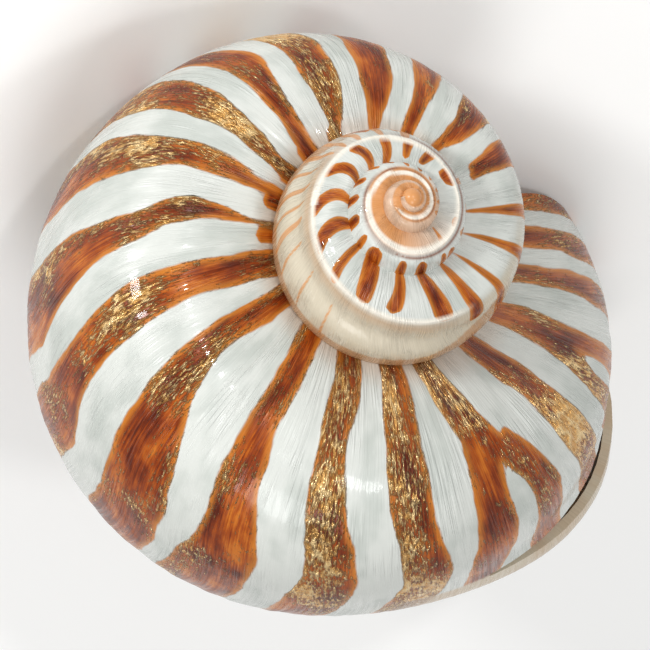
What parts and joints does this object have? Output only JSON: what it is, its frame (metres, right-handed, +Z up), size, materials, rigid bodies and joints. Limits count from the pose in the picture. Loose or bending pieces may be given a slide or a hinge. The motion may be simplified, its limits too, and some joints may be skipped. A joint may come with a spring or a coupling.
{
  "type": "sea shell",
  "caption": "Globe-shaped coiled sea shell with a low keeled spire, a swollen flame-striped body whorl and a wide slit-edged mouth, lying on its mouth side.",
  "frame": {"origin": "centre of the bounding box in plan, on the table it lies on", "axes": "+Z up from the table; the front, -Y, is the side the spire is seen from; the coiling axis leans 57 degrees from the vertical"},
  "size_m": [0.0756, 0.0886, 0.0623],
  "materials": {
    "shell": "glossy white shell wall with nacre sheen, red-brown to golden flame stripes across the whorls and a dull beige inside"
  },
  "bodies": {
    "root": {"shell": "shell"}
  },
  "joints": []
}
